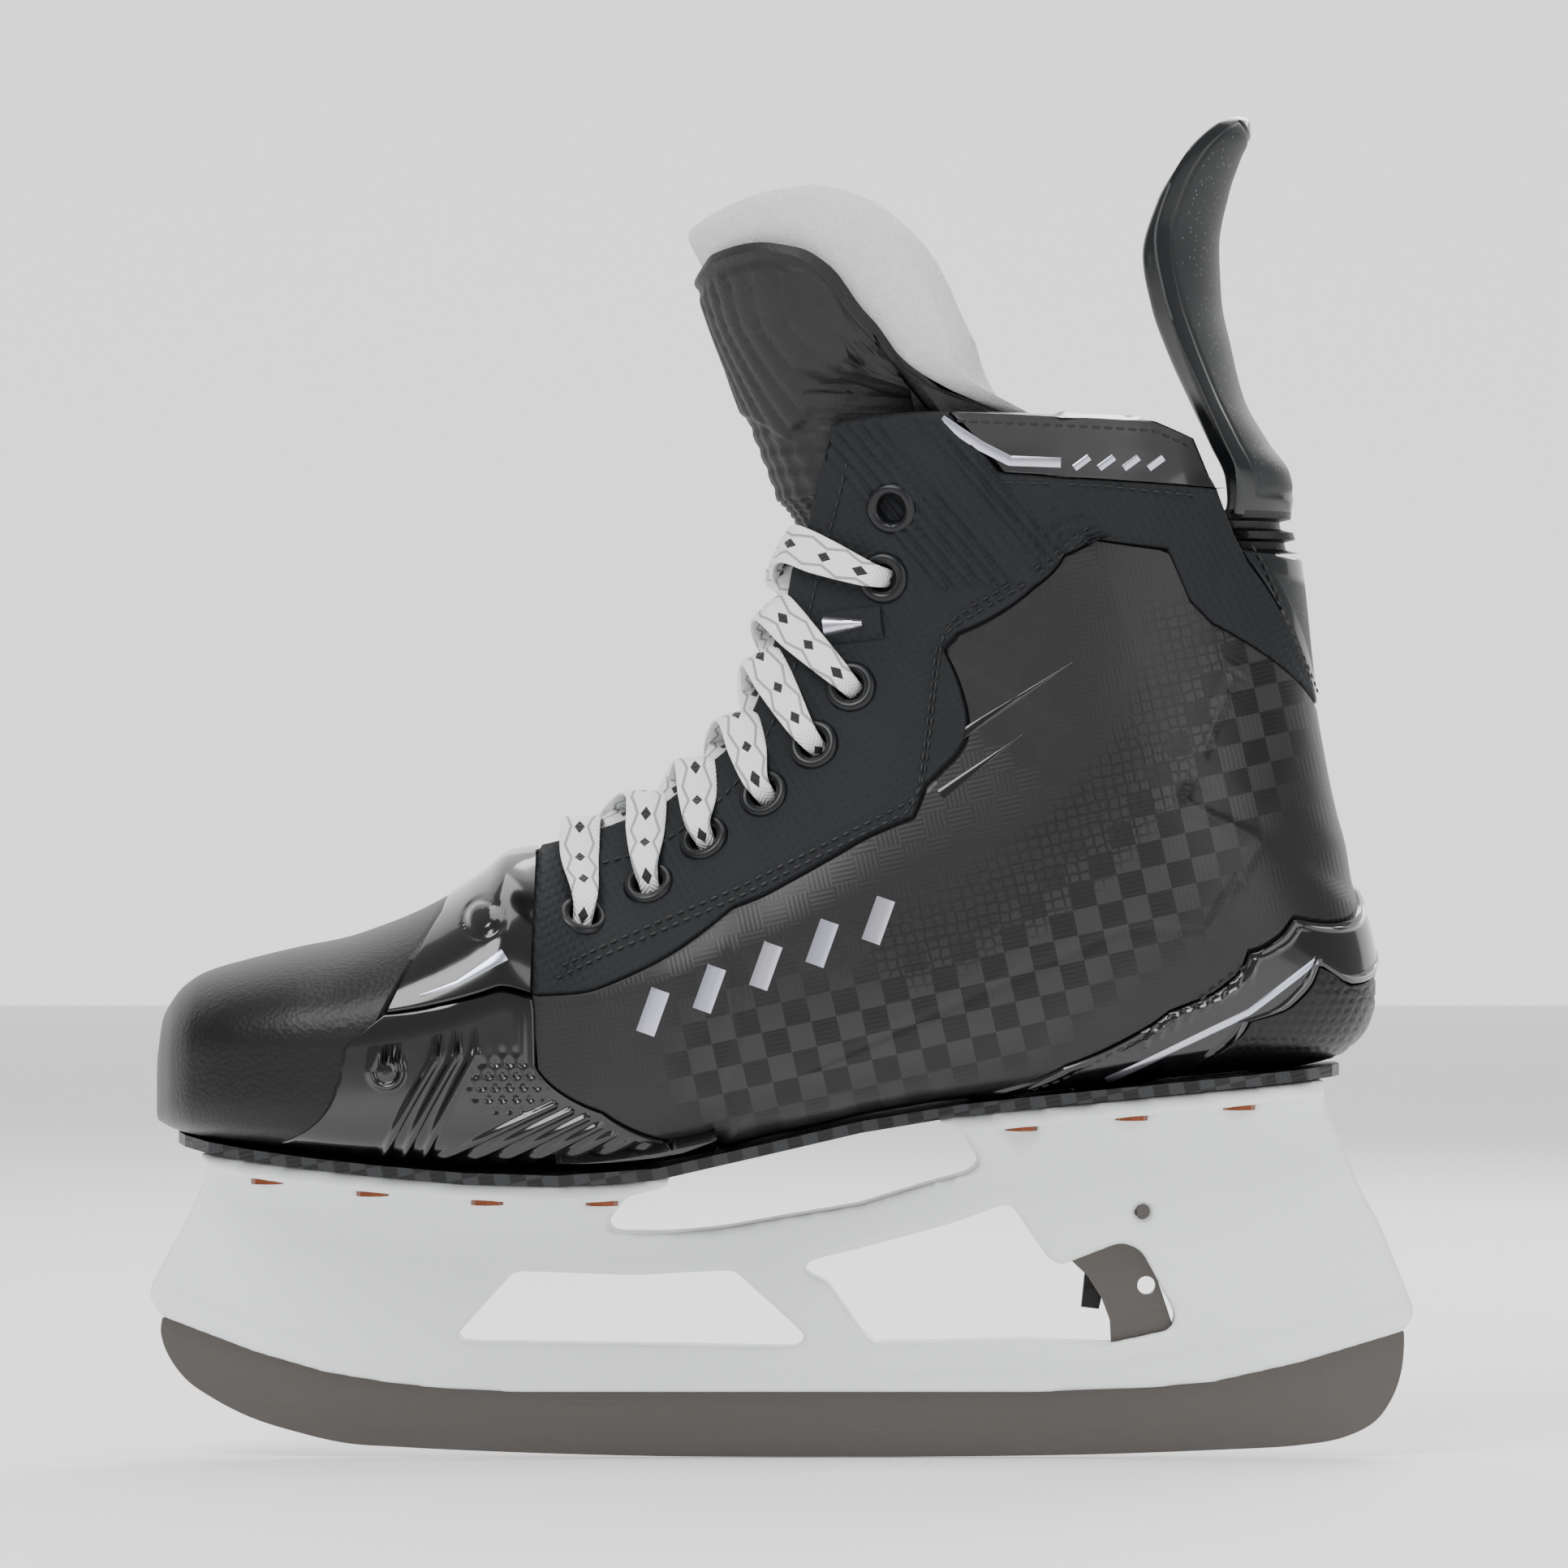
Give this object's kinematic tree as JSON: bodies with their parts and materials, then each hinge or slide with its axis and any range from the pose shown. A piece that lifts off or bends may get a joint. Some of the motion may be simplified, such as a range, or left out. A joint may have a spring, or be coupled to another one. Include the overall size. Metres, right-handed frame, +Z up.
{
  "type": "ice hockey skate",
  "caption": "Left hockey skate: laced composite boot with felt tongue and tendon guard on a moulded holder with a quick-release steel runner.",
  "frame": {"origin": "on the ice line under the middle of the blade holder", "axes": "+Z up, toe towards -X, outer side of the foot towards -Y"},
  "size_m": [0.284, 0.104, 0.3012],
  "materials": {
    "toe_cap": "satin moulded polymer with a fine grain",
    "gloss_overlay": "glossy moulded polyurethane",
    "quarter": "carbon-weave composite under a clear coat",
    "facing": "matte woven synthetic, stitched",
    "liner": "brushed microfibre over foam",
    "outsole": "carbon-weave composite plate",
    "holder": "satin white nylon",
    "steel": "dark satin steel",
    "rivet": "copper",
    "felt": "fuzzy needled felt",
    "tongue_face": "embossed synthetic leather",
    "lace": "waxed flat braid with dark tracers",
    "black_plastic": "satin moulded plastic",
    "silver": "bright satin"
  },
  "bodies": {
    "boot": {"aglet_lateral": "black_plastic", "aglet_medial": "black_plastic", "comfort_edge_lateral": "gloss_overlay", "comfort_edge_medial": "gloss_overlay", "eyelet_lateral_1": "black_plastic", "eyelet_lateral_2": "black_plastic", "eyelet_lateral_3": "black_plastic", "eyelet_lateral_4": "black_plastic", "eyelet_lateral_5": "black_plastic", "eyelet_lateral_6": "black_plastic", "eyelet_lateral_7": "black_plastic", "eyelet_lateral_8": "black_plastic", "eyelet_medial_1": "black_plastic", "eyelet_medial_2": "black_plastic", "eyelet_medial_3": "black_plastic", "eyelet_medial_4": "black_plastic", "eyelet_medial_5": "black_plastic", "eyelet_medial_6": "black_plastic", "eyelet_medial_7": "black_plastic", "eyelet_medial_8": "black_plastic", "eyestay_lateral": "facing", "eyestay_medial": "facing", "footbed": "liner", "guard_base": "black_plastic", "heel_band": "gloss_overlay", "heel_cup": "toe_cap", "holder": "holder", "lace": "lace", "lace_hank_lateral": "lace", "lace_hank_medial": "lace", "lace_lock_lateral": "silver", "lace_lock_medial": "silver", "lace_tail_lateral": "lace", "lace_tail_medial": "lace", "liner": "liner", "outsole": "outsole", "quarter_shell": "quarter", "rivets_front_lateral": "rivet", "rivets_front_medial": "rivet", "rivets_rear_lateral": "rivet", "rivets_rear_medial": "rivet", "toe_bridge": "gloss_overlay", "toe_cap": "toe_cap", "toe_guard_lateral": "gloss_overlay", "toe_guard_medial": "gloss_overlay", "tongue_face_lower": "tongue_face", "tongue_felt_lower": "felt", "trigger_pin": "steel", "trigger_spring": "steel"},
    "runner": {"runner": "steel"},
    "trigger": {"trigger": "black_plastic"},
    "tendon_guard": {"tendon_guard": "black_plastic"},
    "tongue_top": {"tongue_face_upper": "tongue_face", "tongue_felt_upper": "felt"}
  },
  "joints": [
    {"name": "runner_release", "type": "hinge", "parent": "boot", "child": "runner", "pos_m": [-0.131, 0, 0.037], "axis": [0, 1, 0], "range_deg": [0, 5]},
    {"name": "trigger_pull", "type": "hinge", "parent": "boot", "child": "trigger", "pos_m": [0.081, 0, 0.0555], "axis": [0, 1, 0], "range_deg": [-20, 0], "stiffness_Nm_per_rad": 0.05},
    {"name": "tendon_guard_flex", "type": "hinge", "parent": "boot", "child": "tendon_guard", "pos_m": [0.104, 0, 0.2055], "axis": [0, 1, 0], "range_deg": [-10, 30], "stiffness_Nm_per_rad": 12},
    {"name": "tongue_flop", "type": "hinge", "parent": "boot", "child": "tongue_top", "pos_m": [-0.0082, 0, 0.234], "axis": [0, 1, 0], "range_deg": [-20, 0], "stiffness_Nm_per_rad": 3}
  ],
  "couplings": [
    {"joint": "trigger_pull", "follows": "runner_release", "ratio": -4}
  ]
}
